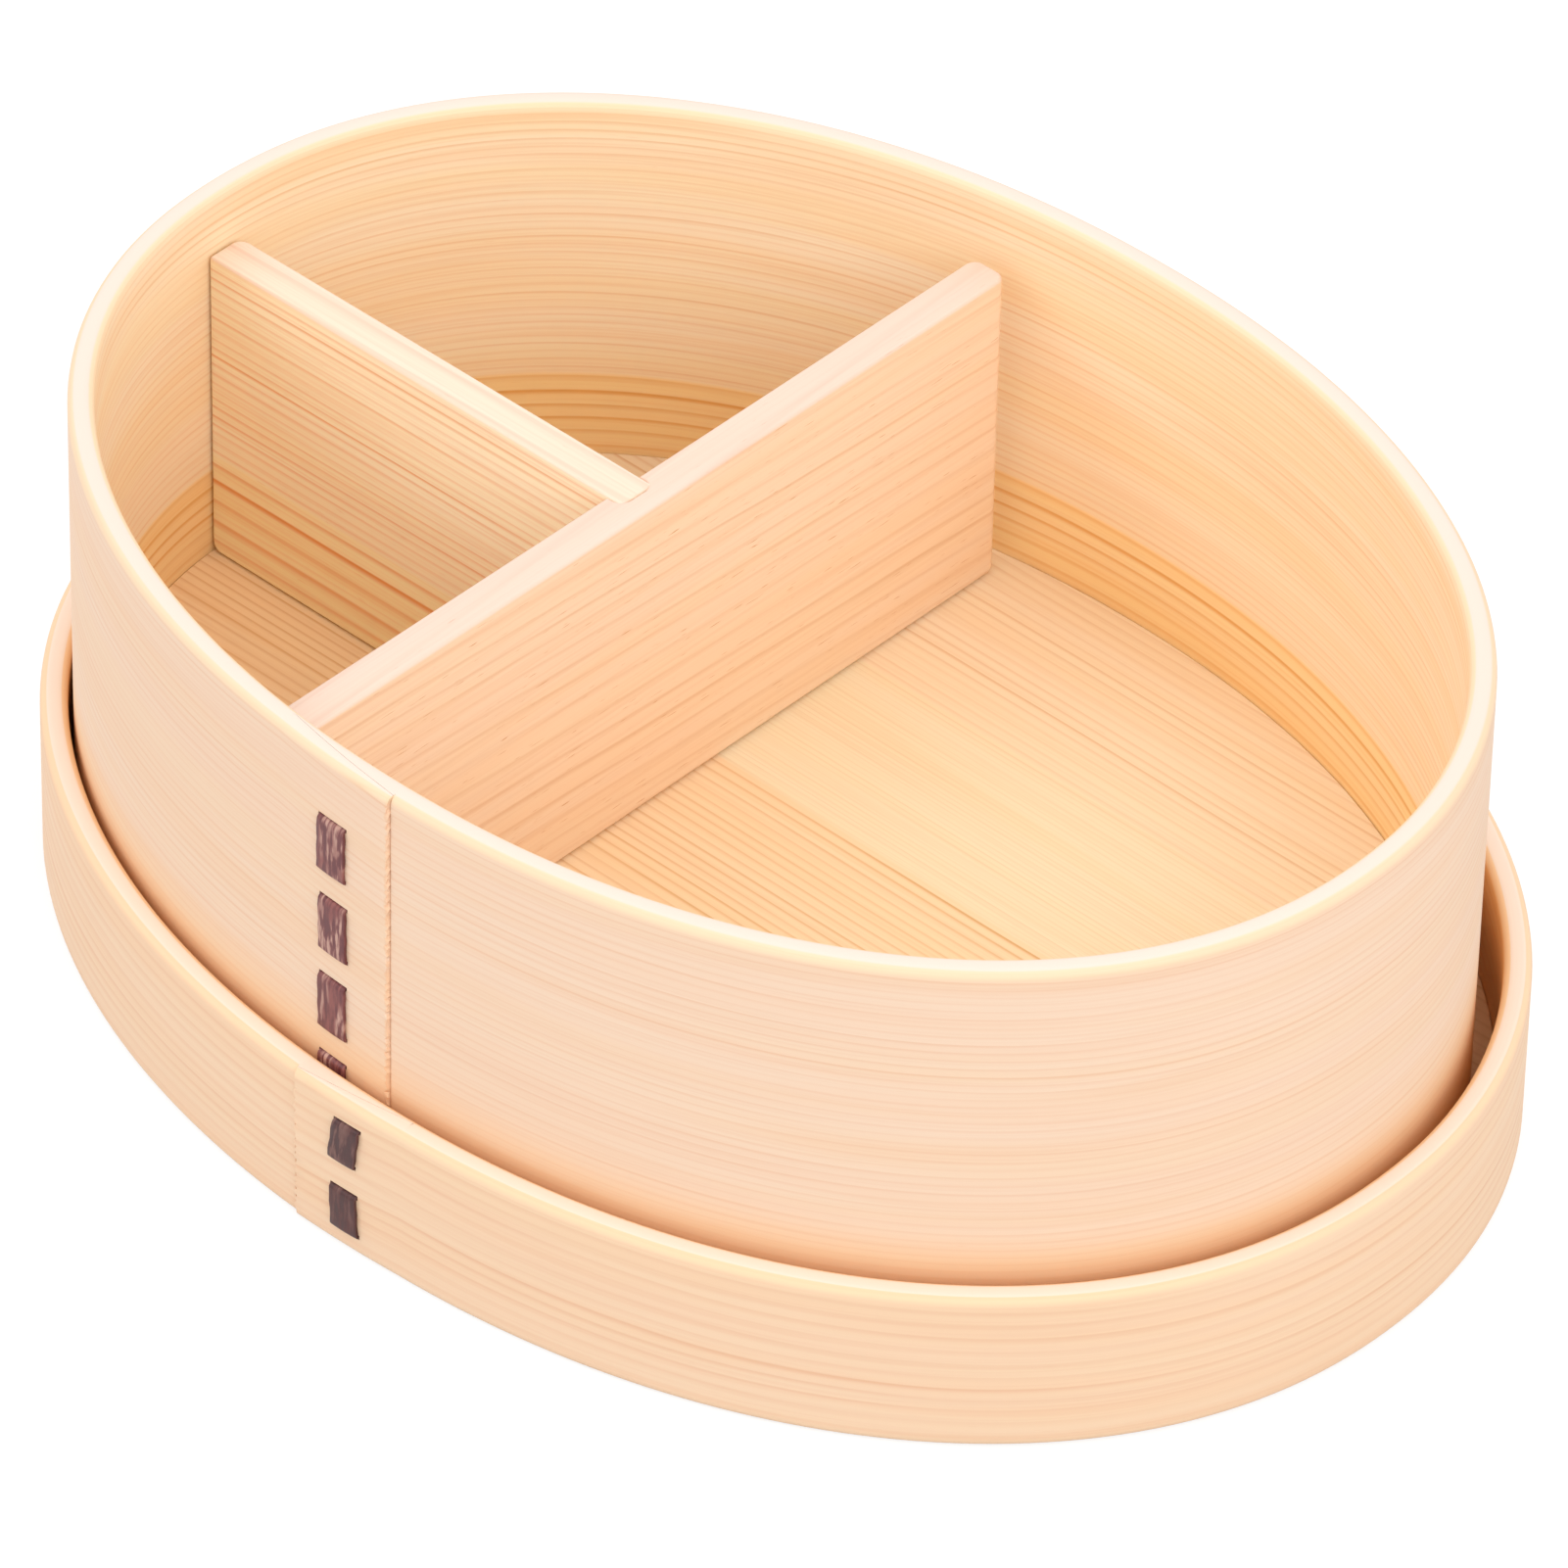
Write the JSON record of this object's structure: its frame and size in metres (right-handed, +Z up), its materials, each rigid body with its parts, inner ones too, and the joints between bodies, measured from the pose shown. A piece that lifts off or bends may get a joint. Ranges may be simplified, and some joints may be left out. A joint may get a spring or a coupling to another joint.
{
  "type": "oval bento box",
  "caption": "Oval bentwood lunch box: a deep lapped and bark-stitched hoop with an inset bottom, standing in its upturned lid, with a lift-out divider that splits the inside.",
  "frame": {"origin": "middle of the lid's underside, the face that the object stands on in the picture", "axes": "+X along the oval's long axis, +Y across it away from the stitched side, +Z up"},
  "size_m": [0.1892, 0.1441, 0.0653],
  "materials": {
    "hoop_wood": "satin, bare planed softwood",
    "board_wood": "satin, bare planed softwood",
    "divider_wood": "satin, bare planed hardwood",
    "bark": "smooth bark ribbon"
  },
  "bodies": {
    "lid": {"lid_hoop": "hoop_wood", "lid_panel": "board_wood", "lid_bark_stitch": "bark"},
    "body": {"body_hoop": "hoop_wood", "body_bottom": "board_wood", "body_bark_stitch": "bark"},
    "long_divider": {"divider_long": "divider_wood"},
    "short_divider": {"divider_short": "board_wood"}
  },
  "joints": [
    {"name": "body_lift", "type": "slide", "parent": "lid", "child": "body", "axis": [0, 0, 1], "range_m": [0, 0.04]},
    {"name": "divider_lift", "type": "slide", "parent": "body", "child": "long_divider", "axis": [0, 0, 1], "range_m": [0, 0.06]},
    {"name": "short_divider_lift", "type": "slide", "parent": "long_divider", "child": "short_divider", "axis": [0, 0, 1], "range_m": [0, 0.06]}
  ]
}
